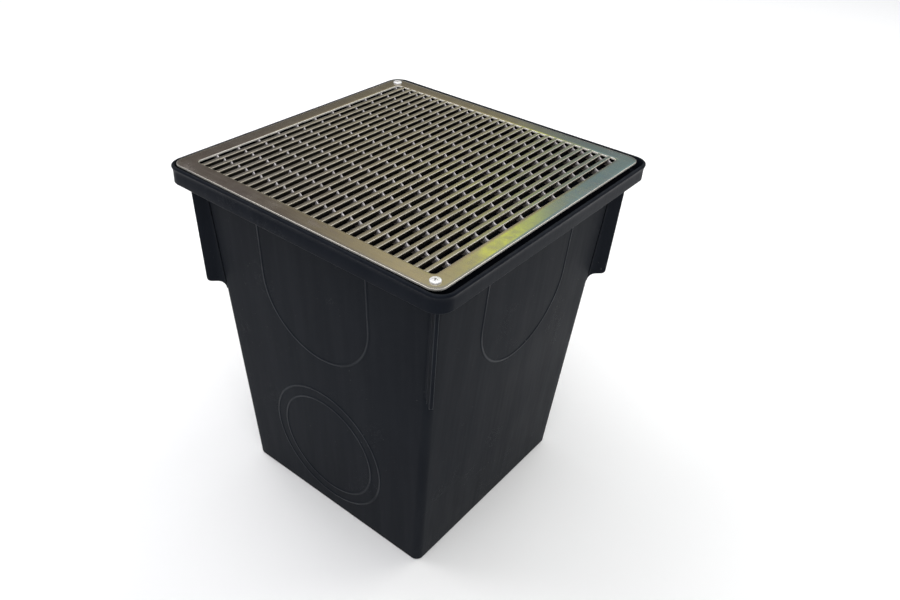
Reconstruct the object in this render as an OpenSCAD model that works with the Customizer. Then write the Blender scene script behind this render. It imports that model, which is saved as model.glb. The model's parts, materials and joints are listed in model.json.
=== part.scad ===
// Square stormwater pit with a steel heel-safe grate screwed to its rim.
// +Z is up and the origin is the centre of the underside of the base.
// The load bars run along Y, the support strips along X.
// The front face looks along -Y, the right face along +X.

/* [Pit body] */
// Height from the underside of the base to the top of the grate
total_h = 358; // [330:1:400]
// Width of the body across the flats at the base
base_w = 232; // [226:1:240]
// Width of the body across the flats just under the rim
neck_w = 277.7; // [276:0.1:282]
// Thickness of the side walls
wall_t = 3; // [2.5:0.5:4]
// Thickness of the bottom
floor_t = 4; // [3:0.5:8]
// Radius of the upright corners at the base
body_r = 8; // [5:0.5:12]

/* [Rim] */
// Width of the rim wall across the outside
rim_w = 320.6; // [320:0.2:326]
// Outside corner radius of the rim wall
rim_r = 16; // [13:0.5:22]
// Height from the underside of the ledge to the top of the grate
rim_h = 18.5; // [16:0.5:30]
// How far the top of the rim lies below the top of the grate
lip_drop = 1.5; // [0.5:0.5:2]
// Thickness of the rim wall
rim_t = 2.3; // [1.8:0.1:2.5]
// Thickness of the ledge under the grate
ledge_t = 3; // [2:0.5:4]
// How far the bead along the top of the rim stands out
bead_out = 1.2; // [0.6:0.1:1.6]
// Height of the bead along the top of the rim
bead_h = 3.5; // [3.2:0.1:6]
// Width across the inside of the upright wall that the grate rests on
seat_w = 292; // [291:0.5:294]
// Thickness of that wall
seat_t = 3; // [2:0.5:4]

/* [Corner webs] */
// Thickness of the web under each corner of the rim
web_t = 3.5; // [2.5:0.5:6]
// How far the bottom of the webs lies below the top of the grate
web_drop = 128.5; // [60:0.5:200]
// Distance from the centre to the web's edge under the rim, along X and Y
web_top = 146.2; // [144:0.2:150]
// Distance from the centre to the web's edge at its bottom, along X and Y
web_bottom = 142; // [139:0.5:144]
// Radius of the fillet between web and body
web_fillet = 8; // [4:0.5:12]

/* [Moulded outlines] */
// Width of the raised lines
line_w = 2.4; // [1.5:0.1:4]
// Height of the raised lines
line_h = 0.9; // [0.5:0.1:2]
// Radius of the outer ring on the front and back
ring_r1 = 70; // [64:0.5:76]
// Radius of the inner ring on the front and back
ring_r2 = 58; // [50:0.5:62]
// Height of the rings' centre above the base
ring_z = 86; // [80:1:120]
// Half the width of the arch under the rim, on all four sides
arch_r = 65.5; // [50:0.5:75]
// Height of the arch's centre above the base
arch_z = 267; // [240:1:280]

/* [Grate] */
// Width of the grate's square border plate
plate_w = 310; // [308:1:312]
// Thickness of the border plate
plate_t = 2; // [1.5:0.5:3]
// Outside corner radius of the border plate
plate_r = 11; // [6:0.5:16]
// Corner radius of the opening in the border plate
opening_r = 4.5; // [2:0.5:6]
// How far the grate sits off centre in its recess, along X
grate_dx = -2; // [-2:0.5:0]
// How far the grate sits off centre in its recess, along Y
grate_dy = -1.5; // [-1.5:0.5:0]

/* [Load bars] */
// Distance from one load bar to the next
bar_pitch = 10; // [9.5:0.1:10]
// Width of a load bar at the top
bar_w = 3.8; // [2.4:0.1:4.4]
// Width of a load bar at its lower edge
bar_foot = 1.2; // [0.8:0.1:2]
// Height of the upright land along a load bar's upper edges
bar_land = 0.8; // [0.4:0.1:1.5]
// Gap between the outermost load bars and the border
end_gap = 6.6; // [5.5:0.1:7]
// Depth of a load bar
bar_d = 5; // [3:0.5:6]

/* [Support strips] */
// Distance from one support strip to the next
strip_pitch = 25; // [23:0.5:25]
// Distance from the rear edge of the opening to the first strip
strip_gap = 4; // [3:0.5:7]
// Thickness of a strip
strip_t = 1.5; // [1.2:0.1:3]
// Depth of a strip's lower edge below the top of the grate
strip_d = 8; // [7:0.5:12]
// Depth of the scallop between two load bars, below the top of the grate
scallop_d = 3.2; // [2:0.1:3.6]
// Radius of the scallops
scallop_r = 3.4; // [3.2:0.1:6]
// How far a strip reaches under the border plate at each end
strip_tuck = 4; // [2:0.5:4.5]

/* [Screws] */
// Distance of the screws from the grate's centre, along X and Y
screw_at = 144; // [143:0.5:145]
// Diameter of a screw's head
head_d = 9.4; // [8:0.1:11]
// Height of a screw's head
head_h = 1.8; // [1.4:0.1:2.6]
// Diameter of a screw's shank
shank_d = 4.2; // [3.5:0.1:5]
// Length of a screw's shank
shank_l = 14; // [10:0.5:15]
// Outside diameter of the bosses that take the screws
boss_d = 11; // [9:0.5:11.5]

/* [Hidden] */
n_bars = 27;
n_strips = 11;
strip_clear = 0.25;
open_w = (n_bars - 1) * bar_pitch + bar_w + 2 * end_gap;
strip_y0 = open_w / 2 - strip_gap;
ledge_z = total_h - rim_h;
lip_z = total_h - lip_drop;
recess_w = rim_w - 2 * rim_t;
seat_z = total_h - plate_t;
slope = (neck_w - base_w) / 2 / ledge_z;
draft = atan(slope);
pilot_r = shank_d / 2 + 0.05;
hole_r = shank_d / 2 + 0.5;
eps = 0.01;
function half_at(z) = base_w / 2 + slope * z;
function web_r_at(z) = (half_at(z) - 0.2929 * body_r) * sqrt(2);
function two(i) = str(i < 10 ? "0" : "", i);
$fn = 48;

// a square with round corners
module rsq(w, r) {
    square([w, w - 2 * r], center = true);
    square([w - 2 * r, w], center = true);
    for (x = [-1, 1], y = [-1, 1])
        translate([x * (w / 2 - r), y * (w / 2 - r)]) circle(r = r);
}

module slab(w, r, z0, z1) {
    translate([0, 0, z0]) linear_extrude(z1 - z0) rsq(w, r);
}

// drafted square block from z0 to z1, following the body's sides a distance in from them;
// the corners are leaning cylinders set a hair inside the two sides
module drafted(inset, r, z0, z1) {
    c = r * cos(draft);
    a = r / cos(draft) + 0.002;
    lean = atan(slope * sqrt(2));
    intersection() {
        translate([-200, -200, z0]) cube([400, 400, z1 - z0]);
        union() {
            for (k = [0, 90]) rotate([0, 0, k]) intersection() {
                flank(inset + c, z0 - 1, z1 + 1);
                rotate([0, 0, 90]) flank(inset, z0 - 1, z1 + 1);
            }
            for (k = [45, 135, 225, 315]) rotate([0, 0, k])
                translate([(half_at(z0 - 5) - inset - a) * sqrt(2), 0, z0 - 5]) rotate([0, lean, 0])
                    cylinder(r = r, h = (z1 - z0 + 12) / cos(lean));
        }
    }
}

module flank(inset, z0, z1) {
    a = half_at(z0) - inset;
    b = half_at(z1) - inset;
    rotate([90, 0, 0]) linear_extrude(400, center = true)
        polygon([[-a, z0], [a, z0], [b, z1], [-b, z1]]);
}

// half-round bead along the top of the rim
module bead() {
    r = bead_h / 2;
    o = rim_w / 2 + bead_out - r;
    q = rim_w / 2 - rim_r;
    for (k = [0, 90, 180, 270]) rotate([0, 0, k]) translate([0, 0, lip_z - r]) {
        translate([o, 0, 0]) rotate([90, 0, 0]) cylinder(r = r, h = 2 * q, center = true);
        translate([q, q, 0]) rotate_extrude(angle = 90) translate([o - q, 0]) circle(r = r);
    }
}

// puts children on one side of the drafted body: X across, Y up the face, Z out of it
module on_side(a) {
    rotate([0, 0, a]) translate([0, -base_w / 2, 0]) rotate([90 + draft, 0, 0]) children();
}

module raised_ring(r, v) {
    translate([0, v, -1]) difference() {
        cylinder(r = r + line_w / 2, h = 1 + line_h, $fn = 96);
        translate([0, 0, -1]) cylinder(r = r - line_w / 2, h = 3 + line_h, $fn = 96);
    }
}

// an arch with its round end down and two legs up to the ledge
module raised_arch(r, v) {
    top = ledge_z / cos(draft) + 0.5;
    difference() {
        translate([0, v, -1]) cylinder(r = r + line_w / 2, h = 1 + line_h, $fn = 96);
        translate([0, v, -2]) cylinder(r = r - line_w / 2, h = 3 + line_h, $fn = 96);
        translate([-r - line_w, v, -2]) cube([2 * r + 2 * line_w, r + 2 * line_w, 4 + line_h]);
    }
    for (s = [-1, 1])
        translate([s * r - line_w / 2, v, -1]) cube([line_w, top - v, 1 + line_h]);
}

// upright web under one corner of the rim, drawn in the plane of the diagonal
module corner_web() {
    z0 = total_h - web_drop;
    ro = web_bottom * sqrt(2);
    rt = web_top * sqrt(2);
    rb = web_r_at(z0);
    rr = 4;
    f = web_fillet;
    rotate([90, 0, 0]) linear_extrude(web_t, center = true) {
        difference() {
            polygon([[rb - 12, z0 - f], [rb, z0 - f], [rb + f, z0], [ro - rr, z0],
                     [ro, z0 + rr], [rt, ledge_z + 1], [rb - 12, ledge_z + 1]]);
            translate([rb + f, z0 - f]) circle(r = f);
        }
        translate([ro - rr, z0 + rr]) circle(r = rr);
    }
}

module screw_places() {
    for (s = [[1, -1], [-1, 1]])
        translate([s[0] * screw_at + grate_dx, s[1] * screw_at + grate_dy, 0]) children();
}

module pit_body() {
    color([0.13, 0.14, 0.16]) difference() {
        union() {
            difference() {
                union() {
                    drafted(0, body_r, 0, ledge_z + 1);
                    slab(rim_w, rim_r, ledge_z, lip_z);
                    bead();
                    for (a = [45, 135, 225, 315]) rotate([0, 0, a]) corner_web();
                    for (a = [0, 90, 180, 270]) on_side(a) raised_arch(arch_r, arch_z / cos(draft));
                    for (a = [0, 180]) on_side(a) {
                        raised_ring(ring_r1, ring_z / cos(draft));
                        raised_ring(ring_r2, ring_z / cos(draft));
                    }
                }
                // the hollow of the body
                drafted(wall_t, body_r - wall_t, floor_t, ledge_z + 5);
                // the recess of the rim
                slab(recess_w, rim_r - rim_t, ledge_z + ledge_t, total_h + 5);
            }
            // the wall that the border plate rests on
            difference() {
                slab(seat_w + 2 * seat_t, 8, ledge_z + ledge_t - 0.5, seat_z);
                slab(seat_w, 8 - seat_t, ledge_z, total_h);
            }
            screw_places() translate([0, 0, ledge_z + 0.5]) cylinder(d = boss_d, h = seat_z - ledge_z - 0.5);
        }
        screw_places() translate([0, 0, total_h - shank_l - 1]) cylinder(r = pilot_r, h = shank_l + 2);
    }
}

module place_grate() {
    translate([grate_dx, grate_dy, total_h]) children();
}

module grate_border() {
    color([0.47, 0.45, 0.42]) place_grate() translate([0, 0, -plate_t]) linear_extrude(plate_t) difference() {
        rsq(plate_w, plate_r);
        rsq(open_w, opening_r);
        for (s = [-1, 1]) translate([s * screw_at, -s * screw_at]) circle(r = hole_r);
    }
}

// section of a load bar: a narrow wedge with a short upright land
module bar_section() {
    polygon([[-bar_w / 2, 0], [-bar_w / 2, -bar_land], [-bar_foot / 2, -bar_d],
             [bar_foot / 2, -bar_d], [bar_w / 2, -bar_land], [bar_w / 2, 0]]);
}

function bar_x(i) = (i - (n_bars + 1) / 2) * bar_pitch;

module load_bar(i) {
    color([0.70, 0.67, 0.58]) place_grate()
        translate([bar_x(i), 0, 0]) rotate([90, 0, 0]) linear_extrude(open_w, center = true) bar_section();
}

// comb strip: notched for the bars, scalloped between them, its ends tucked under the border
module support_strip(j) {
    e = open_w / 2 + strip_tuck;
    u = open_w / 2 - strip_clear;
    color([0.62, 0.60, 0.58]) place_grate()
        translate([0, strip_y0 - (j - 1) * strip_pitch, 0]) rotate([90, 0, 0]) linear_extrude(strip_t, center = true)
            difference() {
                union() {
                    translate([-u, -strip_d]) square([2 * u, strip_d]);
                    translate([-e, -strip_d]) square([2 * e, strip_d - plate_t]);
                }
                for (k = [0:n_bars]) translate([bar_x(k) + bar_pitch / 2, scallop_r - scallop_d])
                    circle(r = scallop_r, $fn = 32);
                for (k = [1:n_bars]) translate([bar_x(k), 0]) bar_section();
            }
}

module screw() {
    r = head_d / 2;
    color([0.86, 0.87, 0.88]) {
        difference() {
            rotate_extrude() polygon(concat([[0, 0], [r, 0]],
                [for (a = [0:15:90]) [r - 1.1 * (1 - cos(a)), head_h - 1.1 + 1.1 * sin(a)]], [[0, head_h]]));
            for (a = [0, 90]) rotate([0, 0, a]) translate([-2.6, -0.6, head_h - 1.3]) cube([5.2, 1.2, 2]);
        }
        translate([0, 0, -shank_l + 2]) cylinder(d = shank_d, h = shank_l - 2 + eps);
        translate([0, 0, -shank_l]) cylinder(d1 = 1.2, d2 = shank_d, h = 2);
    }
}

pit_body();
grate_border();
translate([screw_at + grate_dx, -screw_at + grate_dy, total_h]) screw();  // screw_front
translate([-screw_at + grate_dx, screw_at + grate_dy, total_h]) screw();  // screw_rear
for (i = [1:n_bars]) load_bar(i);
for (j = [1:n_strips]) support_strip(j);
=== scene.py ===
import bpy, bmesh, json, math, random
from mathutils import Vector, Matrix

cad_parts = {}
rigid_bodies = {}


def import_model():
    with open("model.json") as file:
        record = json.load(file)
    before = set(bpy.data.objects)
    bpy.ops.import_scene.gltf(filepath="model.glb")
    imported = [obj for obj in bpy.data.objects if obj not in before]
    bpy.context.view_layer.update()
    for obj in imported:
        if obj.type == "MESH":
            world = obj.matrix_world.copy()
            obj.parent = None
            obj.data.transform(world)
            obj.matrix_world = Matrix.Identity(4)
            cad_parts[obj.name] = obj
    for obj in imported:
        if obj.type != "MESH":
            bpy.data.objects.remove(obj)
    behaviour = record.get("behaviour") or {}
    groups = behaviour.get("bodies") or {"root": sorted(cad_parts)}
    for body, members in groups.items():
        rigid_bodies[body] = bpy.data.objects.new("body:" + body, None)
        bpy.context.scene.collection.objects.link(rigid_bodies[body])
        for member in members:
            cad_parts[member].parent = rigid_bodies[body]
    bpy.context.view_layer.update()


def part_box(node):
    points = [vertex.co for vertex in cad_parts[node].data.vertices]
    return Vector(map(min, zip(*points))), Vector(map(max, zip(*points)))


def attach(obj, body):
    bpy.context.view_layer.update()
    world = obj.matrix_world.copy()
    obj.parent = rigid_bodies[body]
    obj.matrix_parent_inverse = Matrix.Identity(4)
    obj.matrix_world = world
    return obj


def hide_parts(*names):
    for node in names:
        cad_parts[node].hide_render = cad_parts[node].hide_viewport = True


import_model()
scene = bpy.context.scene
MM = 0.001

# ---------------------------------------------------------------- sizes, in mm, from the frame
def nbox(name):
    lo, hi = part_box(name)
    return [v / MM for v in lo], [v / MM for v in hi]

P_LO, P_HI = nbox("pit_body")
G_LO, G_HI = nbox("grate_border")
TOP = G_HI[2]                       # top of the grate
GX = (G_LO[0] + G_HI[0]) / 2        # the grate's centre
GY = (G_LO[1] + G_HI[1]) / 2
LEDGE = TOP - 18.5
LIP = P_HI[2]
BEAD = P_HI[0]                      # half width over the bead
RIM = BEAD - 1.2                    # half width of the rim wall
SLOPE = (277.7 - 232.0) / 2 / LEDGE
BASE = 116.0
N_BARS, N_STRIPS = 27, 11


def half(z):
    return BASE + SLOPE * z


# ---------------------------------------------------------------- mesh helpers
def new_object(name, verts, faces, smooth=None, mats=None):
    me = bpy.data.meshes.new(name)
    me.from_pydata([(x * MM, y * MM, z * MM) for x, y, z in verts], [], faces)
    me.validate()
    o = bpy.data.objects.new(name, me)
    scene.collection.objects.link(o)
    fix_normals(o)
    if smooth is not None:
        shade(o, smooth)
    return o


def fix_normals(o):
    bm = bmesh.new()
    bm.from_mesh(o.data)
    bmesh.ops.recalc_face_normals(bm, faces=bm.faces)
    bm.to_mesh(o.data)
    bm.free()


def shade(o, degrees):
    """smooth shading with edges sharper than this kept sharp"""
    me = o.data
    bm = bmesh.new()
    bm.from_mesh(me)
    lim = math.radians(degrees)
    for f in bm.faces:
        f.smooth = True
    for e in bm.edges:
        if len(e.link_faces) == 2:
            e.smooth = e.calc_face_angle(0.0) < lim
        else:
            e.smooth = False
    bm.to_mesh(me)
    bm.free()


def rounded(hx, r, nc, ns, hy=None):
    """a square loop with round corners: 4 corners of nc + 1 points, ns points along each side between them"""
    hy = hx if hy is None else hy
    pts = []
    for k in range(4):
        a0 = math.pi / 2 * k
        cx = (hx - r) * (1 if k in (0, 3) else -1)
        cy = (hy - r) * (1 if k in (0, 1) else -1)
        for i in range(nc + 1):
            a = a0 + math.pi / 2 * i / nc
            pts.append((cx + r * math.cos(a), cy + r * math.sin(a)))
        # along the side to the next corner
        a1 = a0 + math.pi / 2
        p = pts[-1]
        k2 = (k + 1) % 4
        nx = (hx - r) * (1 if k2 in (0, 3) else -1) + r * math.cos(a1)
        ny = (hy - r) * (1 if k2 in (0, 1) else -1) + r * math.sin(a1)
        for i in range(1, ns + 1):
            t = i / (ns + 1)
            pts.append((p[0] + (nx - p[0]) * t, p[1] + (ny - p[1]) * t))
    return pts


def skin(loops, cap_start=False, cap_end=False, closed=False):
    """quads between loops of equal length; loops are lists of 3D points"""
    verts, faces = [], []
    n = len(loops[0])
    for lp in loops:
        verts.extend(lp)
    m = len(loops)
    for j in range(m if closed else m - 1):
        a, b = j * n, ((j + 1) % m) * n
        for i in range(n):
            i2 = (i + 1) % n
            faces.append((a + i, a + i2, b + i2, b + i))
    if cap_start:
        faces.append(tuple(range(n))[::-1])
    if cap_end:
        faces.append(tuple(range((m - 1) * n, m * n)))
    return verts, faces


def arc(cx, cz, r, a0, a1, n):
    """points of an arc in a section: (half width, height), angles in degrees"""
    return [(cx + r * math.cos(math.radians(a0 + (a1 - a0) * i / n)),
             cz + r * math.sin(math.radians(a0 + (a1 - a0) * i / n))) for i in range(n + 1)]


def join(name, parts):
    """one mesh out of (verts, faces) parts"""
    V, F = [], []
    for v, f in parts:
        o = len(V)
        V.extend(v)
        F.extend(tuple(i + o for i in face) for face in f)
    return V, F


# ---------------------------------------------------------------- the pit: one moulding
def pit_shell():
    """closed skin of the tapered box, its rim, ledge and seat wall, as (half width, height, corner radius)"""
    path = []

    def add(pts, r):
        for h, z in pts:
            path.append((h, z, r(h, z) if callable(r) else r))

    # underside, base edge, outer side
    add([(BASE * 0.55, 0.0)], 5.0)
    add([(BASE - 5.0, 0.0)], 7.0)
    add(arc(half(1.6) - 1.6, 1.6, 1.6, -90, 0, 6), lambda h, z: 8.0 - max(0.0, half(1.6) - h))
    for z in (30, 60, 90, 120, 150, 180, 210, 240, 270, 300, 325):
        add([(half(z), z)], 8.0)
    # fillet into the underside of the ledge
    f = 1.5
    hz = half(LEDGE - f)
    add([(hz + f - f * math.cos(math.radians(a)), LEDGE - f + f * math.sin(math.radians(a))) for a in (0, 30, 60, 90)],
        lambda h, z: 8.0 + (h - hz))
    # under the ledge to the outer wall
    q = 1.0
    add([(150.0, LEDGE)], 11.0)
    add(arc(RIM - 0.25 - q, LEDGE + q, q, -90, 0, 6), lambda h, z: 15.5 - (RIM - 0.25 - h))
    # outer wall up to the bead
    b = 1.75
    bz = LIP - b
    bo = BEAD - b
    add([(RIM - 0.08, LEDGE + 6.5)], 16.0)
    add([(RIM, bz - 5.2), (RIM + 0.07, bz - 4.2), (RIM + 0.20, bz - 3.3), (RIM + 0.40, bz - 2.45), (RIM + 0.62, bz - 1.75)],
        lambda h, z: 16.0 + (h - RIM))
    add(arc(bo, bz, b, -36, 90, 12), lambda h, z: 16.0 + (h - RIM))
    # top of the rim, then down its inside
    i0 = 158.0
    q = 0.7
    add([(i0 + q + 0.55, LIP)], 14.4)
    add([(i0 + 0.5 + q - q * math.sin(math.radians(a)), LIP - q + q * math.cos(math.radians(a))) for a in (30, 60, 90)], 14.0)
    add([(i0 + 0.05, LIP - 6.0)], 13.7)
    lt = LEDGE + 3.0
    f = 1.0
    add([(i0 - f + f * math.cos(math.radians(a)), lt + f - f * math.sin(math.radians(a))) for a in (0, 30, 60, 90)], 13.2)
    # seat wall
    so, si = 149.0, 146.0
    f = 0.8
    add([(so + f - f * math.sin(math.radians(a)), lt + f - f * math.cos(math.radians(a))) for a in (0, 30, 60, 90)], 8.2)
    q = 0.5
    st = TOP - 2.0
    add(arc(so - q, st - q, q, 0, 90, 4), 8.0)
    add(arc(si + q, st - q, q, 90, 180, 4), 5.5)
    add([(si - f + f * math.cos(math.radians(a)), lt + f - f * math.sin(math.radians(a))) for a in (0, 30, 60, 90)], 5.0)
    # over the inner edge of the ledge and down the inside
    q = 1.4
    hi = half(lt) - 3.0
    add([(hi + q - q * math.sin(math.radians(a)), lt - q + q * math.cos(math.radians(a))) for a in (0, 22.5, 45, 67.5, 90)], 5.0)
    for z in (320, 290, 250, 210, 170, 130, 90, 50, 20):
        add([(half(z) - 3.0, z)], 5.0)
    f = 3.0
    hf = half(4.0 + f) - 3.0
    add([(hf - f + f * math.cos(math.radians(a)), 4.0 + f - f * math.sin(math.radians(a))) for a in (0, 18, 36, 54, 72, 90)],
        lambda h, z: max(2.2, 5.0 - (hf - h)))
    add([(half(4.0) - 12.0, 4.0)], 4.0)
    add([(BASE * 0.5, 4.0)], 5.0)

    nc, ns = 14, 24

    def bow(x, y, z):
        """the thin upright wall of the rim is not dead straight: it leans in along the front and the back"""
        if z < LEDGE + 3.5 or abs(y) < 153.0:
            return (x, y, z)
        t = min((z - LEDGE - 3.5) / 10.0, 1.0)
        t = t * t * (3 - 2 * t)
        c = max(0.0, 1 - (x / 158.0) ** 2)
        return (x, y + (0.7 + 1.5 * c if y < 0 else -0.7 - 0.5 * c) * t * min(1.0, (158.0 - min(abs(x), 158.0)) / 12.0), z)

    loops = [[bow(x, y, z) for x, y in rounded(h, r, nc, ns)] for h, z, r in path]
    return skin(loops, cap_start=True, cap_end=True)


def web(k):
    """one corner web, a plate with rounded edges that flares into the corner of the body"""
    t = 1.75
    z0 = TOP - 128.5
    ro, rt = 142.0 * math.sqrt(2), 146.2 * math.sqrt(2)
    rr, f = 4.0, 8.0

    def body_r(z):
        return (half(z) - 0.2929 * 8.0) * math.sqrt(2)

    rb = body_r(z0)
    # lower outline from the body's corner to the outer edge, then up to the ledge; the inner side follows the corner
    low = []
    for a in (0, 15, 30, 45, 60, 75, 90):
        low.append((rb + f - f * math.cos(math.radians(a)), z0 - f + f * math.sin(math.radians(a))))
    for a in (-90, -67.5, -45, -22.5, 0):
        low.append((ro - rr + rr * math.cos(math.radians(a)), z0 + rr + rr * math.sin(math.radians(a))))
    n_up = 10
    for i in range(1, n_up + 1):
        u = i / n_up
        low.append((ro + (rt - ro) * u, z0 + rr + (LEDGE + 0.5 - z0 - rr) * u))
    # a fan of stations from the corner outwards: for every outline point, rows at fractions of the way
    n = len(low)
    inner = []
    for i, (r, z) in enumerate(low):
        if i <= 6:
            zi = z0 - f - 0.5 + (i / 6) * (f + 2.0)
        elif i <= 11:
            zi = z0 + 1.5 + (i - 6) * 2.0
        else:
            zi = z0 + 11.5 + (LEDGE + 0.5 - z0 - 11.5) * (i - 11) / (n - 12)
        inner.append((body_r(zi) - 1.2, zi))
    # cross sections: half thickness along the way out, with a flare at the root and a rounded outer edge
    e = 0.7
    ways = [0.0, 0.6, 1.2, 1.9, 2.7]          # mm from the root
    thick = [t + 1.9, t + 1.35, t + 0.75, t + 0.3, t + 0.04]
    side = []
    for (r0, zz0), (r1, zz1) in zip(inner, low):
        L = math.hypot(r1 - r0, zz1 - zz0)
        ux, uz = (r1 - r0) / L, (zz1 - zz0) / L
        row = []
        # root
        for w, th in zip(ways, thick):
            w = min(w + 0.0, L * 0.5)
            row.append((r0 + ux * (w + 1.0 if L > 6 else w), zz0 + uz * (w + 1.0 if L > 6 else w), th if L > 6 else min(th, t + 0.4)))
        # body of the plate
        for u in (0.5, 0.8):
            if L > 8:
                d = L * u
            else:
                d = L * (0.5 + 0.5 * u) * 0.9
            row.append((r0 + ux * d, zz0 + uz * d, t))
        # rounded edge
        for a in (0, 30, 60, 90):
            d = L - e + e * math.sin(math.radians(a))
            row.append((r0 + ux * d, zz0 + uz * d, t - e + e * math.cos(math.radians(a))))
        side.append(row)
    m = len(side[0])
    verts, faces = [], []
    for s in (1, -1):
        for row in side:
            for r, z, th in row:
                verts.append((r, s * th, z))
    N = n * m
    for i in range(n - 1):
        for j in range(m - 1):
            a, b, c, d = i * m + j, i * m + j + 1, (i + 1) * m + j + 1, (i + 1) * m + j
            faces.append((a, b, c, d))
            faces.append((N + a, N + d, N + c, N + b))
        # outer edge and root
        a, b = i * m + m - 1, (i + 1) * m + m - 1
        faces.append((a, N + a, N + b, b))
        a, b = i * m, (i + 1) * m
        faces.append((a, b, N + b, N + a))
    for i in (0, n - 1):
        for j in range(m - 1):
            a, b = i * m + j, i * m + j + 1
            faces.append((a, N + a, N + b, b) if i == 0 else (a, b, N + b, N + a))
    ang = math.radians(45 + 90 * k)
    c, s = math.cos(ang), math.sin(ang)
    return [(x * c - y * s, x * s + y * c, z) for x, y, z in verts], faces


def ridge(path2d, place, closed):
    """a moulded line: a low round ridge along a path in the plane of a side"""
    w, h = 1.45, 0.62
    half_sec = [(0.0, 1.0), (0.25, 0.95), (0.5, 0.76), (0.72, 0.45), (0.9, 0.16), (1.1, 0.0), (1.3, -0.5)]
    sec = [(-a * w, b * h) for a, b in half_sec[:0:-1]] + [(a * w, b * h) for a, b in half_sec]
    n = len(path2d)
    loops = []
    for i, (x, y) in enumerate(path2d):
        if closed:
            a, b = path2d[i - 1], path2d[(i + 1) % n]
        else:
            a, b = path2d[max(i - 1, 0)], path2d[min(i + 1, n - 1)]
        tx, ty = b[0] - a[0], b[1] - a[1]
        L = math.hypot(tx, ty)
        nx, ny = -ty / L, tx / L
        loops.append([place(x + nx * u, y + ny * u, v) for u, v in sec])
    m = len(sec)
    verts = [p for lp in loops for p in lp]
    faces = []
    for i in range(n if closed else n - 1):
        a, b = i * m, ((i + 1) % n) * m
        for j in range(m):
            j2 = (j + 1) % m
            faces.append((a + j, a + j2, b + j2, b + j))
    if not closed:
        faces.append(tuple(range(m))[::-1])
        faces.append(tuple(range((n - 1) * m, n * m)))
    return verts, faces


def side_place(k):
    """x across, y up the face, v out of it, on side k (0 front, 1 right, 2 rear, 3 left)"""
    d = math.atan(SLOPE)
    cd, sd = math.cos(d), math.sin(d)
    a = math.radians(90 * k)
    ca, sa = math.cos(a), math.sin(a)

    def place(x, y, v):
        px, py, pz = x, -BASE - y * sd - v * cd, y * cd - v * sd
        return (px * ca - py * sa, px * sa + py * ca, pz)
    return place


def outlines():
    cd = math.cos(math.atan(SLOPE))
    parts = []
    for k in range(4):
        pl = side_place(k)
        r, yc = 65.5, 267.0 / cd
        pts = [(-r, LEDGE / cd + 0.8)]
        for i in range(1, 8):
            pts.append((-r, LEDGE / cd + 0.8 + (yc - LEDGE / cd - 0.8) * i / 8))
        for i in range(0, 65):
            a = math.pi + math.pi * i / 64
            pts.append((r * math.cos(a), yc + r * math.sin(a)))
        for i in range(1, 9):
            pts.append((r, yc + (LEDGE / cd + 0.8 - yc) * i / 8))
        parts.append(ridge(pts, pl, False))
        if k in (0, 2):
            for r in (70.0, 58.0):
                pts = [(r * math.cos(2 * math.pi * i / 128), 86.0 / cd + r * math.sin(2 * math.pi * i / 128)) for i in range(128)]
                parts.append(ridge(pts, pl, True))
    return parts


def lathe(profile, n, cx, cy):
    """closed solid of revolution from (radius, height) points that start and end on the axis"""
    verts, faces = [], []
    rows = []
    for r, z in profile:
        if r < 1e-6:
            rows.append([len(verts)])
            verts.append((cx, cy, z))
        else:
            row = []
            for i in range(n):
                a = 2 * math.pi * i / n
                row.append(len(verts))
                verts.append((cx + r * math.cos(a), cy + r * math.sin(a), z))
            rows.append(row)
    for a, b in zip(rows, rows[1:]):
        for i in range(n):
            i2 = (i + 1) % n
            if len(a) == 1 and len(b) == 1:
                continue
            if len(a) == 1:
                faces.append((a[0], b[i], b[i2]))
            elif len(b) == 1:
                faces.append((a[i], b[0], a[i2]))
            else:
                faces.append((a[i], b[i], b[i2], a[i2]))
    return verts, faces


SCREWS = [(144.0 + GX, -144.0 + GY, "screw_front"), (-144.0 + GX, 144.0 + GY, "screw_rear")]


def bosses():
    parts = []
    for x, y, _ in SCREWS:
        t = TOP - 2.0
        parts.append(lathe([(0, LEDGE + 1.0), (5.5, LEDGE + 1.0), (5.5, t - 0.4), (5.1, t), (2.6, t), (2.15, t - 0.45),
                            (2.15, TOP - 15.0), (0, TOP - 15.0)], 32, x, y))
    return parts


pit_parts = [pit_shell()] + [web(k) for k in range(4)]
line_parts = outlines()
pit = new_object("pit", *join("pit", pit_parts + line_parts + bosses()), smooth=32)
# marks the moulded lines, which are rubbed smoother than the faces and are painted lighter along their crests as a
# painted highlight
raised = pit.data.attributes.new("raised", "FLOAT", "POINT")
first = sum(len(v) for v, f in pit_parts)
crest = (0.0, 0.0, 0.0, 0.08, 0.45, 0.85, 1.0, 0.85, 0.45, 0.08, 0.0, 0.0, 0.0)       # across a line
for i in range(sum(len(v) for v, f in line_parts)):
    raised.data[first + i].value = crest[i % 13]
# the rounded outer edges of the webs, 11 points to a row, painted lighter as a painted highlight
n_shell = len(pit_parts[0][0])
for i in range(first - n_shell):
    raised.data[n_shell + i].value = 0.9 if i % 11 in (8, 9) else 0.0


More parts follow.
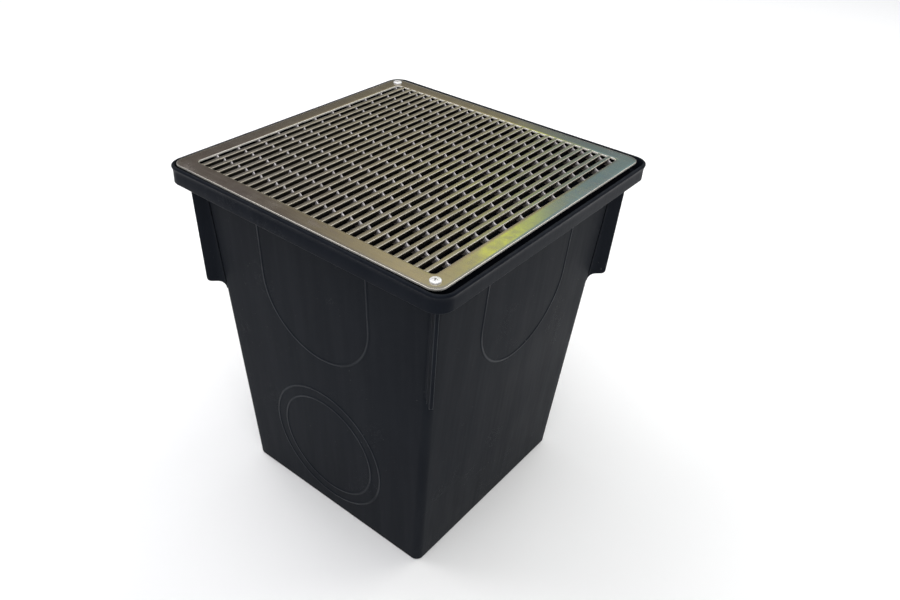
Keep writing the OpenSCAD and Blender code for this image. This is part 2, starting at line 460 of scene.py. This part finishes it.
# ---------------------------------------------------------------- the grate
def border():
    t0, t1 = TOP - 2.0, TOP
    q = 0.42
    nc, ns = 12, 24
    ho, ro, hi, ri = 154.25, 10.6, 138.5, 4.5
    sec = []
    for a in (0, 30, 60, 90):
        s, c = math.sin(math.radians(a)), math.cos(math.radians(a))
        sec.append((ho - q + q * c, t1 - q + q * s, ro - q + q * c))
    for h, r in ((151.0, 10.0), (147.0, 8.0), (142.0, 6.0)):
        sec.append((h, t1, r))
    for a in (0, 30, 60, 90):
        s, c = math.sin(math.radians(a)), math.cos(math.radians(a))
        sec.append((hi + q - q * s, t1 - q + q * c, ri + q - q * s))
    for a in (0, 30, 60, 90):
        s, c = math.sin(math.radians(a)), math.cos(math.radians(a))
        sec.append((hi + q - q * c, t0 + q - q * s, ri + q - q * c))
    sec.append((147.0, t0, 8.0))
    for a in (0, 30, 60, 90):
        s, c = math.sin(math.radians(a)), math.cos(math.radians(a))
        sec.append((ho - q + q * s, t0 + q - q * c, ro - q + q * s))
    # the outer edge sits a little to the right and front of the opening
    loops = [[(x + GX + (0.75 if h > 146.0 else 0.0), y + GY - (0.5 if h > 146.0 else 0.0), z) for x, y in rounded(h, r, nc, ns)]
             for h, z, r in sec]
    return skin(loops, closed=True)


plate = new_object("border_plate", *border(), smooth=35)
for x, y, _ in SCREWS:
    bpy.ops.mesh.primitive_cylinder_add(vertices=48, radius=2.6 * MM, depth=8 * MM, location=(x * MM, y * MM, TOP * MM))
    cut = bpy.context.object
    mod = plate.modifiers.new("hole", "BOOLEAN")
    mod.object, mod.operation, mod.solver = cut, "DIFFERENCE", "EXACT"
    bpy.context.view_layer.objects.active = plate
    bpy.ops.object.modifier_apply(modifier="hole")
    bpy.data.objects.remove(cut)
shade(plate, 35)


BAR_W, BAR_LAND, BAR_FOOT, BAR_D = 1.9, 0.8, 0.6, 5.0     # half width, land, half foot, depth


def bar_side(d):
    """half width of a bar at a depth below its top"""
    return BAR_W if d <= BAR_LAND else BAR_W - (BAR_W - BAR_FOOT) * (d - BAR_LAND) / (BAR_D - BAR_LAND)


def bar(i):
    """a wedge bar with a very slightly crowned top and softened upper edges; its ends meet the border's opening"""
    xc = (i - (N_BARS + 1) / 2) * 10.0 + GX
    rnd = random.Random(100 + i)
    w, q = BAR_W, 0.42
    dip = [rnd.uniform(0.0, 0.05) for _ in range(5)]
    lean = rnd.uniform(-0.004, 0.004)
    crown = 0.05
    top = [(-w, -BAR_LAND), (-w, -q - 0.04)]
    top += [(-w + q - q * math.cos(math.radians(a)), -q + q * math.sin(math.radians(a)) - crown) for a in (15, 30, 45, 60, 75, 90)]
    top += [(-0.7, -0.012), (0.0, 0.0), (0.7, -0.012)]
    top += [(w - q + q * math.sin(math.radians(a)), -q + q * math.cos(math.radians(a)) - crown) for a in (0, 15, 30, 45, 60, 75)]
    top += [(w, -q - 0.04), (w, -BAR_LAND), (BAR_FOOT, -BAR_D + 0.15), (BAR_FOOT - 0.15, -BAR_D),
            (-BAR_FOOT + 0.15, -BAR_D), (-BAR_FOOT, -BAR_D + 0.15)]
    loops = []
    n = 16
    for k in range(n + 1):
        t = k / n
        y = GY - 138.5 + 277.0 * t
        d = sum(dip[m] * math.exp(-((t - m / 4) / 0.16) ** 2) for m in range(5)) * math.sin(math.pi * t)
        loops.append([(xc + u, y, TOP + z - (d + lean * (u + w) if z > -BAR_LAND else 0.0) - (0.012 if z > -BAR_LAND else 0.0))
                      for u, z in top])
    return skin(loops, cap_start=True, cap_end=True)


for i in range(1, N_BARS + 1):
    nm = "load_bar_%02d" % i
    o = new_object("bar_%02d" % i, *bar(i), smooth=30)
    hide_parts(nm)
    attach(o, "root")


def strip_mesh(j):
    """comb strip: notched for the bars, a round scallop in each gap, its ends tucked under the border"""
    lo, hi = nbox("support_strip_%02d" % j)
    y0, y1, zb = lo[1], hi[1], lo[2]
    e, u = hi[0] - GX, 138.25
    q = 0.22
    sr, sd = 3.4, 3.2                      # radius and depth of the scallops
    rnd = random.Random(500 + j)

    def bar_x(k):
        return (k - (N_BARS + 1) / 2) * 10.0

    def hang(x):
        """depth of the scalloped edge at a distance from the middle of its gap"""
        return sd - sr + math.sqrt(max(sr * sr - x * x, 0.0))

    # the upper edge left to right as (x, depth below the top)
    top = [(-e, 2.0), (-u - 0.02, 2.0)]
    for k in range(0, N_BARS + 1):
        m = bar_x(k) + 5.0
        a = -5.0 + BAR_W if k > 0 else -u - m
        b = 5.0 - BAR_W if k < N_BARS else u - m
        # walk in to where the arc meets the wedge's side
        for _ in range(6):
            if k > 0:
                a = -5.0 + bar_side(max(hang(max(a, -sr)), 0.0))
            if k < N_BARS:
                b = 5.0 - bar_side(max(hang(min(b, sr)), 0.0))
        a, b = max(a, -sr + 0.01), min(b, sr - 0.01)
        if k == 0:
            top.append((-u, max(hang(a), 0.3)))
        wob = rnd.uniform(-0.08, 0.08)
        for t in range(0, 17):
            x = a + (b - a) * t / 16
            top.append((m + x, hang(x) + wob * math.cos(math.pi * x / 7.0)))
        if k == N_BARS:
            top.append((u, max(hang(b), 0.3)))
        if k < N_BARS:
            c = bar_x(k + 1)
            top += [(c - bar_side(3.4), 3.4), (c - BAR_FOOT, BAR_D), (c + BAR_FOOT, BAR_D), (c + bar_side(3.4), 3.4)]
    top += [(u + 0.02, 2.0), (e, 2.0)]
    # columns
    V, F = [], []
    cols = []
    dz = TOP - zb
    for x, d in top:
        c = []
        # section at this column: bottom, sides, softened top edge
        for (yy, dd) in ((y0 + q, dz), (y0, dz - q), (y0, d + q), (y0 + q * 0.3, d + q * 0.3), (y0 + q, d), (y1 - q, d),
                         (y1 - q * 0.3, d + q * 0.3), (y1, d + q), (y1, dz - q), (y1 - q, dz)):
            c.append(len(V))
            V.append((x + GX, yy, TOP - dd))
        cols.append(c)
    m = 10
    for a, b in zip(cols, cols[1:]):
        for i in range(m):
            i2 = (i + 1) % m
            F.append((a[i], a[i2], b[i2], b[i]))
    F.append(tuple(cols[0])[::-1])
    F.append(tuple(cols[-1]))
    return V, F


for j in range(1, N_STRIPS + 1):
    nm = "support_strip_%02d" % j
    o = new_object("strip_%02d" % j, *strip_mesh(j), smooth=28)
    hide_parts(nm)
    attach(o, "root")


def build_screw(name, x, y, spin):
    R, H = 4.7, 1.8
    prof = [(0, TOP - 14.0), (0.6, TOP - 13.9)]
    # threaded shank below the head
    prof += [(1.35, TOP - 12.6)]
    zt = TOP - 12.6
    while zt < TOP - 2.4:
        prof += [(1.55, zt + 0.25), (2.09, zt + 0.62), (1.55, zt + 1.0)]
        zt += 1.0
    prof += [(1.7, TOP - 1.6), (2.1, TOP - 1.2), (2.1, TOP), (R - 0.25, TOP), (R, TOP + 0.12), (R, TOP + 0.42)]
    cz = H - 1.15
    for a in (15, 30, 45, 60, 75, 90):
        prof.append((R - 1.6 * (1 - math.cos(math.radians(a))), TOP + 0.42 + 1.18 * math.sin(math.radians(a))))
    prof += [(2.2, TOP + H - 0.06), (1.2, TOP + H - 0.01), (0, TOP + H)]
    v, f = lathe(prof, 48, x, y)
    o = new_object(name, v, f, smooth=35)
    # cross recess
    for k in range(2):
        bpy.ops.mesh.primitive_cube_add(size=1, location=(x * MM, y * MM, (TOP + H - 0.2) * MM))
        c = bpy.context.object
        c.scale = (5.0 * MM, 1.05 * MM, 2.2 * MM)
        c.rotation_euler = (0, 0, math.radians(spin + 90 * k))
        bpy.ops.object.transform_apply(location=False, rotation=True, scale=True)
        # taper the recess towards its bottom
        for vv in c.data.vertices:
            if vv.co.z < 0:
                vv.co.x *= 0.55
                vv.co.y *= 0.55
        mod = o.modifiers.new("cut", "BOOLEAN")
        mod.object, mod.operation, mod.solver = c, "DIFFERENCE", "EXACT"
        bpy.context.view_layer.objects.active = o
        bpy.ops.object.modifier_apply(modifier="cut")
        bpy.data.objects.remove(c)
    shade(o, 35)
    return o


screws = []
for (x, y, nm), spin in zip(SCREWS, (20, 65)):
    o = build_screw(nm.replace("screw", "pan_screw"), x, y, spin)
    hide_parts(nm)
    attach(o, "root")
    screws.append(o)

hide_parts("pit_body")
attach(pit, "root")
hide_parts("grate_border")
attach(plate, "root")


# ---------------------------------------------------------------- materials
class Mat:
    """a small helper that adds nodes and links them"""

    def __init__(self, name):
        self.m = bpy.data.materials.new(name)
        self.m.use_nodes = True
        self.t = self.m.node_tree
        self.bsdf = self.t.nodes["Principled BSDF"]
        self.co = self.t.nodes.new("ShaderNodeTexCoord")

    def node(self, kind, **props):
        n = self.t.nodes.new(kind)
        for k, v in props.items():
            setattr(n, k, v)
        return n

    def link(self, a, b):
        self.t.links.new(a, b)

    def put(self, sock, v):
        if hasattr(v, "links") or isinstance(v, bpy.types.NodeSocket):
            self.link(v, sock)
        else:
            sock.default_value = v

    def pos(self, scale=(1, 1, 1), rot=(0, 0, 0), loc=(0, 0, 0)):
        """object coordinates, scaled"""
        mp = self.node("ShaderNodeMapping")
        mp.inputs["Scale"].default_value = scale
        mp.inputs["Rotation"].default_value = rot
        mp.inputs["Location"].default_value = loc
        self.link(self.co.outputs["Object"], mp.inputs["Vector"])
        return mp.outputs["Vector"]

    def noise(self, vec, scale, detail=4, rough=0.55, dist=0.0, seed=0.0):
        n = self.node("ShaderNodeTexNoise", noise_dimensions="4D")
        self.link(vec, n.inputs["Vector"])
        n.inputs["W"].default_value = seed
        n.inputs["Scale"].default_value = scale
        n.inputs["Detail"].default_value = detail
        n.inputs["Roughness"].default_value = rough
        n.inputs["Distortion"].default_value = dist
        return n.outputs["Fac"]

    def ramp(self, fac, lo, hi, a=0.0, b=1.0, smooth=True):
        n = self.node("ShaderNodeMapRange", interpolation_type="SMOOTHSTEP" if smooth else "LINEAR")
        self.put(n.inputs["Value"], fac)
        n.inputs["From Min"].default_value = lo
        n.inputs["From Max"].default_value = hi
        n.inputs["To Min"].default_value = a
        n.inputs["To Max"].default_value = b
        return n.outputs["Result"]

    def math(self, op, a, b=0.0, c=0.0):
        n = self.node("ShaderNodeMath", operation=op)
        self.put(n.inputs[0], a)
        self.put(n.inputs[1], b)
        if op in ("MULTIPLY_ADD",):
            self.put(n.inputs[2], c)
        return n.outputs[0]

    def mix(self, fac, a, b, mode="MIX"):
        n = self.node("ShaderNodeMix", data_type="RGBA", blend_type=mode)
        self.put(n.inputs[0], fac)
        self.put(n.inputs[6], a if not isinstance(a, tuple) else (*a, 1))
        self.put(n.inputs[7], b if not isinstance(b, tuple) else (*b, 1))
        return n.outputs[2]

    def bump(self, height, strength, distance, normal=None):
        n = self.node("ShaderNodeBump")
        n.inputs["Strength"].default_value = strength
        n.inputs["Distance"].default_value = distance
        self.link(height, n.inputs["Height"])
        if normal is not None:
            self.link(normal, n.inputs["Normal"])
        return n.outputs["Normal"]

    def xyz(self):
        s = self.node("ShaderNodeSeparateXYZ")
        self.link(self.co.outputs["Object"], s.inputs[0])
        return s.outputs

    def normal_z(self):
        g = self.node("ShaderNodeNewGeometry")
        s = self.node("ShaderNodeSeparateXYZ")
        self.link(g.outputs["Normal"], s.inputs[0])
        return s.outputs


def pit_material():
    M = Mat("black_polypropylene")
    b = M.bsdf
    # broad unevenness, upright flow streaks, fine grain, dust specks, scuffs
    broad = M.noise(M.pos(), 9.0, 3, 0.5, seed=1.0)
    streak = M.noise(M.pos(scale=(1, 1, 0.035)), 260.0, 3, 0.6, seed=2.0)
    streak2 = M.noise(M.pos(scale=(1, 1, 0.06)), 60.0, 2, 0.5, seed=3.0)
    grain = M.noise(M.pos(), 1500.0, 2, 0.6, seed=4.0)
    dust = M.noise(M.pos(), 420.0, 2, 0.5, seed=5.0)
    dust_area = M.noise(M.pos(), 14.0, 3, 0.6, seed=6.0)
    speck = M.math("MULTIPLY", M.ramp(dust, 0.69, 0.75), M.ramp(dust_area, 0.46, 0.62))
    scr = M.noise(M.pos(scale=(1, 1, 1), rot=(0.4, 0.9, 0.3)), 30.0, 6, 0.75, dist=2.5, seed=7.0)
    scratch = M.ramp(M.math("ABSOLUTE", M.math("SUBTRACT", scr, 0.5)), 0.0, 0.006, 1.0, 0.0)
    scratch = M.math("MULTIPLY", scratch, M.ramp(M.noise(M.pos(), 22.0, 2, 0.5, seed=8.0), 0.56, 0.66))
    nx, ny, nz = M.normal_z()
    x, y, z = M.xyz()
    # rubbed edge of the rim, and dust that lies on what faces up
    rubbed = M.math("MULTIPLY", M.ramp(z, 0.3535, 0.3560), M.ramp(M.noise(M.pos(), 55.0, 4, 0.7, seed=9.0), 0.50, 0.72))
    film = M.math("MULTIPLY", M.ramp(nz, 0.55, 0.95), M.ramp(dust_area, 0.30, 0.75, 0.25, 1.0))
    base = M.mix(M.ramp(broad, 0.3, 0.7), (0.0070, 0.0084, 0.0117), (0.0104, 0.0121, 0.0158))
    base = M.mix(M.math("MULTIPLY", M.ramp(streak2, 0.35, 0.75), 0.45), base, (0.0170, 0.0188, 0.0228))
    base = M.mix(M.math("MULTIPLY", film, 0.10), base, (0.075, 0.080, 0.082))
    base = M.mix(M.math("MULTIPLY", rubbed, 0.16), base, (0.085, 0.090, 0.095))
    base = M.mix(M.math("MULTIPLY", speck, 0.55), base, (0.12, 0.12, 0.115))
    base = M.mix(M.math("MULTIPLY", scratch, 0.35), base, (0.06, 0.06, 0.065))
    at = M.node("ShaderNodeAttribute", attribute_name="raised")
    line = M.math("MULTIPLY", at.outputs["Fac"], M.ramp(M.noise(M.pos(), 16.0, 3, 0.6, seed=12.0), 0.32, 0.64, 0.25, 1.0))
    # painted highlight: the moulded lines and web edges are lighter in colour, besides being glossier
    base = M.mix(M.math("MULTIPLY", line, 0.50), base, (0.034, 0.038, 0.044))
    # the rim is smoother, and a deeper blue black
    rim = M.ramp(z, 0.3383, 0.3400)
    base = M.mix(M.math("MULTIPLY", rim, 0.45), base, (0.0036, 0.0050, 0.0092))
    M.link(base, b.inputs["Base Color"])
    r = M.math("ADD", M.ramp(broad, 0.25, 0.75, 0.38, 0.48), M.math("MULTIPLY", M.math("SUBTRACT", streak, 0.5), 0.16))
    r = M.math("ADD", r, M.math("MULTIPLY", speck, 0.25))
    r = M.math("SUBTRACT", r, M.math("MULTIPLY", rim, 0.07))
    M.link(r, b.inputs["Roughness"])
    M.link(M.math("ADD", M.math("MULTIPLY_ADD", line, 0.12, 0.028), M.math("MULTIPLY", rim, 0.010)), b.inputs["Specular IOR Level"])
    b.inputs["Specular Tint"].default_value = (0.80, 0.88, 1.0, 1.0)
    b.inputs["IOR"].default_value = 1.49
    n = M.bump(streak2, 0.20, 0.0006)
    n = M.bump(streak, 0.16, 0.0003, n)
    n = M.bump(grain, 0.12, 0.0001, n)
    n = M.bump(scratch, 0.35, 0.0002, n)
    M.link(n, b.inputs["Normal"])
    return M.m


def steel_material(name, along, tones, rough, seed=0.0, wear=0.3, aniso=0.5, piece=None, painted_slot_shade=None, brush=0.10, cut=None, matt=None):
    """stainless steel with its grain along X or Y.
    tones: two main tones and a blotch tone; piece: pitch in X over which the tone steps from piece to piece;
    darker below a height: (height, depth, colour), painted shade deeper in the slots; cut: (colour, from, to, lowest),
    a bright matt tone, partly a cut finish and partly a painted highlight, on faces that turn away from straight up,
    above a height, with the outer edges that face the front painted darker as painted shade"""
    M = Mat(name)
    b = M.bsdf
    k = 0.012
    sc = (k, 1, 1) if along == "X" else (1, k, 1)
    sc2 = (k * 2.2, 1, 1) if along == "X" else (1, k * 2.2, 1)
    fine = M.noise(M.pos(scale=sc), 2600.0, 3, 0.65, seed=seed + 1)
    mid = M.noise(M.pos(scale=sc2), 520.0, 4, 0.6, seed=seed + 2)
    broad = M.noise(M.pos(), 17.0, 3, 0.55, seed=seed + 3)
    cloud = M.noise(M.pos(), 62.0, 4, 0.62, dist=0.5, seed=seed + 4)
    blotch = M.ramp(M.noise(M.pos(), 30.0, 5, 0.66, dist=0.9, seed=seed + 5), 0.50, 0.66)
    spot = M.ramp(M.noise(M.pos(), 620.0, 2, 0.5, seed=seed + 6), 0.76, 0.83)
    lo, hi, alt = tones
    c = M.mix(M.ramp(broad, 0.32, 0.68), lo, hi)
    c = M.mix(M.math("MULTIPLY", blotch, wear), c, alt)
    c = M.mix(M.ramp(cloud, 0.35, 0.72, 0.0, 0.30), c, tuple(v * 0.80 for v in lo))
    c = M.mix(M.math("MULTIPLY", M.ramp(mid, 0.38, 0.75), 0.22), c, tuple(min(v * 1.22, 1.0) for v in hi))
    c = M.mix(M.math("MULTIPLY", M.ramp(fine, 0.30, 0.70), 0.20), c, tuple(v * 0.76 for v in lo))
    c = M.mix(M.math("MULTIPLY", spot, wear * 0.35), c, (0.20, 0.17, 0.13))
    r = M.math("ADD", M.ramp(cloud, 0.3, 0.7, rough - 0.04, rough + 0.05), M.math("MULTIPLY", M.math("SUBTRACT", mid, 0.5), 0.12))
    r = M.math("ADD", r, M.math("MULTIPLY", blotch, 0.05))
    if piece:
        x, y, z = M.xyz()
        w = M.node("ShaderNodeTexWhiteNoise", noise_dimensions="1D")
        M.link(M.math("FLOOR", M.math("DIVIDE", M.math("ADD", x, 0.0005 - GX * MM + piece * 20.5), piece)), w.inputs["W"])
        c = M.mix(M.math("MULTIPLY", w.outputs["Value"], 0.30), c, tuple(v * 0.72 for v in lo))
        r = M.math("ADD", r, M.math("MULTIPLY", w.outputs["Value"], 0.06))
    if painted_slot_shade:
        # painted shade: darker below a height, deeper into the slots where the bars and strips are in shade
        x, y, z = M.xyz()
        z0, dz, dark = painted_slot_shade
        g = M.ramp(z, z0, z0 - dz)
        g = M.math("MULTIPLY", g, M.ramp(cloud, 0.2, 0.7, 1.0, 0.82))
        c = M.mix(g, c, dark)
        r = M.math("ADD", r, M.math("MULTIPLY", g, 0.25))
    if cut:
        x, y, z = M.xyz()
        nx, ny, nz = M.normal_z()
        tone, n0, n1, low = cut
        # painted highlight: a bright matt tone, partly a cut finish, on faces near the top that turn away from straight
        # up
        f = M.math("MULTIPLY", M.ramp(nz, n0, n1), M.ramp(z, low - 0.0003, low))
        f = M.math("MULTIPLY", f, M.ramp(cloud, 0.25, 0.7, 1.0, 0.80))
        far = M.math("MAXIMUM", M.math("ABSOLUTE", M.math("SUBTRACT", x, GX * MM)), M.math("ABSOLUTE", M.math("SUBTRACT", y, GY * MM)))
        # painted shade: outer edge faces that face the front are darker
        outer = M.mix(M.ramp(ny, -0.2, -0.7), tuple(v * 0.80 for v in tone), tuple(v * 0.38 for v in tone))
        c = M.mix(f, c, M.mix(M.ramp(far, 0.149, 0.151), tone, outer))
        M.link(M.math("SUBTRACT", 1.0, M.math("MULTIPLY", f, 0.85)), b.inputs["Metallic"])
        r = M.math("ADD", M.math("MULTIPLY", r, M.math("SUBTRACT", 1.0, f)), M.math("MULTIPLY", f, 0.50))
    elif matt:
        # a dull skin of dirt and mill scale on the upright faces, a thinner one on the edges
        nx, ny, nz = M.normal_z()
        M.link(M.ramp(nz, 0.75, 0.25, matt[0], matt[1]), b.inputs["Metallic"])
    else:
        b.inputs["Metallic"].default_value = 1.0
    M.link(c, b.inputs["Base Color"])
    M.link(r, b.inputs["Roughness"])
    b.inputs["Anisotropic"].default_value = aniso
    b.inputs["Anisotropic Rotation"].default_value = 0.0 if along == "X" else 0.25
    n = M.bump(fine, brush, 0.00004)
    n = M.bump(mid, brush * 0.6, 0.0001, n)
    n = M.bump(cloud, 0.05, 0.0004, n)
    M.link(n, b.inputs["Normal"])
    return M.m


def screw_material():
    M = Mat("bright_screw")
    b = M.bsdf
    n1 = M.noise(M.pos(), 700.0, 4, 0.6, seed=31)
    n2 = M.noise(M.pos(scale=(1, 1, 0.2)), 2500.0, 2, 0.5, seed=32)
    x, y, z = M.xyz()
    c = M.mix(M.ramp(n1, 0.35, 0.7), (0.86, 0.86, 0.88), (0.94, 0.94, 0.95))
    c = M.mix(M.ramp(n1, 0.68, 0.78, 0, 0.4), c, (0.50, 0.48, 0.46))
    # painted shade: darker in the cross recess, towards its bottom
    dx = M.math("SUBTRACT", M.math("ABSOLUTE", M.math("SUBTRACT", x, GX * MM)), 0.144)
    dy = M.math("SUBTRACT", M.math("ABSOLUTE", M.math("SUBTRACT", y, GY * MM)), 0.144)
    near = M.ramp(M.math("SQRT", M.math("ADD", M.math("MULTIPLY", dx, dx), M.math("MULTIPLY", dy, dy))), 0.0031, 0.0027)
    recess_shade = M.math("MULTIPLY", near, M.ramp(z, (TOP + 1.60) * MM, (TOP + 1.05) * MM, 0.0, 0.92))
    c = M.mix(recess_shade, c, (0.10, 0.095, 0.09))
    M.link(c, b.inputs["Base Color"])
    b.inputs["Metallic"].default_value = 0.55
    M.link(M.ramp(n2, 0.3, 0.7, 0.30, 0.42), b.inputs["Roughness"])
    M.link(M.bump(n1, 0.08, 0.00005), b.inputs["Normal"])
    return M.m


PLATE_TONES = ((0.47, 0.435, 0.385), (0.56, 0.525, 0.455), (0.43, 0.385, 0.395))
BAR_TONES = ((0.39, 0.367, 0.318), (0.47, 0.445, 0.39), (0.36, 0.33, 0.305))
STRIP_TONES = ((0.46, 0.435, 0.445), (0.55, 0.525, 0.54), (0.40, 0.37, 0.365))
pit.data.materials.append(pit_material())
# painted highlight on the plate's edges, painted shade on its front outer edges
plate.data.materials.append(steel_material("rolled_plate", "X", PLATE_TONES, 0.21, seed=10.0, wear=0.55, aniso=0.2, brush=0.04,
                                          cut=((0.98, 0.95, 0.88), 0.93, 0.60, (TOP - 2.5) * MM)))
# painted shade below the top of each bar, painted highlight on its upper edges
m_bar = steel_material("drawn_bar", "Y", BAR_TONES, 0.27, seed=40.0, wear=0.4, piece=0.010,
                       painted_slot_shade=((TOP - 0.8) * MM, 0.9 * MM, (0.045, 0.038, 0.030)),
                       cut=((0.74, 0.68, 0.56), 0.90, 0.50, (TOP - 0.75) * MM))
# painted shade: the strips are darker deeper in the slots
m_strip = steel_material("cut_strip", "X", STRIP_TONES, 0.46, seed=70.0, wear=0.35,
                         painted_slot_shade=((TOP - 2.4) * MM, 4.0 * MM, (0.105, 0.088, 0.074)), matt=(0.55, 0.08))
m_screw = screw_material()
for o in list(scene.objects):
    if o.name.startswith("bar_"):
        o.data.materials.append(m_bar)
    elif o.name.startswith("strip_"):
        o.data.materials.append(m_strip)
for o in screws:
    o.data.materials.append(m_screw)


# ---------------------------------------------------------------- floor, light, camera
def floor_object():
    me = bpy.data.meshes.new("floor")
    s = 6.0
    me.from_pydata([(-s, -s, -0.0002), (s, -s, -0.0002), (s, s, -0.0002), (-s, s, -0.0002)], [], [(0, 1, 2, 3)])
    o = bpy.data.objects.new("floor", me)
    scene.collection.objects.link(o)
    M = Mat("floor_paint")
    M.bsdf.inputs["Base Color"].default_value = (0.95, 0.95, 0.95, 1)
    M.bsdf.inputs["Roughness"].default_value = 0.75
    # the sweep stays white far from the pit
    x, y, z = M.xyz()
    d = M.math("SQRT", M.math("ADD", M.math("MULTIPLY", x, x), M.math("MULTIPLY", y, y)))
    M.bsdf.inputs["Emission Color"].default_value = (1.0, 1.0, 1.0, 1)
    M.link(M.math("MULTIPLY", M.ramp(d, 0.45, 1.8, 0.0, 0.32), M.ramp(d, 4.8, 2.2)), M.bsdf.inputs["Emission Strength"])
    me.materials.append(M.m)
    return o


floor_object()


def toward(az, el, dist, about=(0, 0, 0.3)):
    a, e = math.radians(az), math.radians(el)
    return (about[0] + dist * math.cos(a) * math.cos(e), about[1] + dist * math.sin(a) * math.cos(e), about[2] + dist * math.sin(e))


def area(name, loc, target, size, radiance, color=(1, 1, 1)):
    """a soft box, its strength given as the brightness of its face"""
    L = bpy.data.lights.new(name, "AREA")
    L.shape = "RECTANGLE"
    L.size, L.size_y = size
    L.energy = radiance * math.pi * size[0] * size[1]
    L.color = color
    o = bpy.data.objects.new(name, L)
    scene.collection.objects.link(o)
    o.location = loc
    o.rotation_mode = "QUATERNION"
    o.rotation_quaternion = (Vector(target) - Vector(loc)).to_track_quat("-Z", "Y")
    return o


MIDDLE = (0, 0, 0.33)
area("box_right", toward(66, 46, 2.0), MIDDLE, (1.4, 1.0), 2.3, (1.0, 0.965, 0.89))
area("box_left", toward(-160, 56, 2.0), MIDDLE, (1.3, 1.2), 2.8, (1.0, 0.975, 0.98))
area("box_top", (0.1, -0.1, 2.6), MIDDLE, (1.6, 1.6), 1.3)
area("box_front", toward(-55, 52, 3.2), (0.3, -0.5, 0.0), (2.8, 1.8), 2.2)
for nm, az in (("fill_left", 178), ("fill_back", 96)):
    fill = area(nm, toward(az, 16, 1.9, (0, 0, 0.1)), (0, 0, 0.15), (1.2, 0.7), 2.2, (0.96, 0.98, 1.0))
    fill.visible_glossy = False


def card():
    """a painted reflector behind the left: what the polished steel mirrors"""
    c = Vector(toward(128, 27, 1.3, (-0.002, -0.0015, 0.358)))
    d = (c - Vector((-0.002, -0.0015, 0.358))).normalized()
    u = d.cross(Vector((0, 0, 1))).normalized()
    v = u.cross(d)
    me = bpy.data.meshes.new("reflector")
    hw, hh = 0.80, 0.40
    me.from_pydata([(-hw, -hh, 0), (hw, -hh, 0), (hw, hh, 0), (-hw, hh, 0)], [], [(0, 1, 2, 3)])
    o = bpy.data.objects.new("reflector", me)
    scene.collection.objects.link(o)
    o.matrix_world = Matrix.Translation(c) @ Matrix((u, v, -d)).transposed().to_4x4()
    o.visible_camera = False
    o.visible_shadow = False
    o.visible_diffuse = False
    M = Mat("painted_reflector")
    x, y, z = M.xyz()
    soft = M.noise(M.pos(), 3.0, 3, 0.5, seed=90)
    xs = M.math("ADD", x, M.math("MULTIPLY", M.math("SUBTRACT", soft, 0.5), 0.16))
    # brown to the left, warm in the middle, cool grey to the right
    c1 = M.mix(M.ramp(xs, -0.42, 0.03), (0.165, 0.142, 0.138), (0.74, 0.66, 0.42))
    c1 = M.mix(M.ramp(xs, 0.17, 0.36), c1, (0.31, 0.50, 0.57))
    # a patch of green
    dx = M.math("DIVIDE", M.math("SUBTRACT", x, 0.215), 0.085)
    dy = M.math("DIVIDE", M.math("SUBTRACT", y, 0.150), 0.090)
    rr = M.math("SQRT", M.math("ADD", M.math("MULTIPLY", dx, dx), M.math("MULTIPLY", dy, dy)))
    c1 = M.mix(M.ramp(rr, 1.45, 0.2, 0.0, 0.97), c1, (1.60, 1.95, 0.04))
    # darker towards the ground
    c1 = M.mix(M.ramp(y, 0.07, -0.18, 0.0, 0.86), c1, (0.15, 0.14, 0.125))
    em = M.node("ShaderNodeEmission")
    M.link(c1, em.inputs["Color"])
    em.inputs["Strength"].default_value = 1.0
    out = [n for n in M.t.nodes if n.type == "OUTPUT_MATERIAL"][0]
    M.link(em.outputs["Emission"], out.inputs["Surface"])
    me.materials.append(M.m)
    return o


card()

world = bpy.data.worlds.new("world")
scene.world = world
world.use_nodes = True
world.node_tree.nodes["Background"].inputs["Color"].default_value = (0.95, 0.97, 1.0, 1)
world.node_tree.nodes["Background"].inputs["Strength"].default_value = 0.50

cam_data = bpy.data.cameras.new("camera")
cam = bpy.data.objects.new("camera", cam_data)
scene.collection.objects.link(cam)
scene.camera = cam
cam_data.sensor_width = 36.0
cam_data.lens = 852.4366 / 900 * 36.0
cam_data.shift_x = (450 - 429.2169) / 900
cam_data.shift_y = (255.5797 - 300) / 900
cam_data.clip_start, cam_data.clip_end = 0.02, 50
az, el, roll = math.radians(-52.1210), math.radians(31.5865), math.radians(2.7661)
fwd = Vector((-math.cos(az) * math.cos(el), -math.sin(az) * math.cos(el), -math.sin(el)))
right = fwd.cross(Vector((0, 0, 1))).normalized()
up = right.cross(fwd)
r2 = right * math.cos(roll) + up * math.sin(roll)
u2 = up * math.cos(roll) - right * math.sin(roll)
rot = Matrix((r2, u2, -fwd)).transposed()
cam.matrix_world = Matrix.Translation((0.45602, -0.55793, 0.69796)) @ rot.to_4x4()

scene.view_settings.view_transform = "Standard"
scene.view_settings.look = "None"
scene.view_settings.exposure = 0.0
scene.view_settings.gamma = 1.0
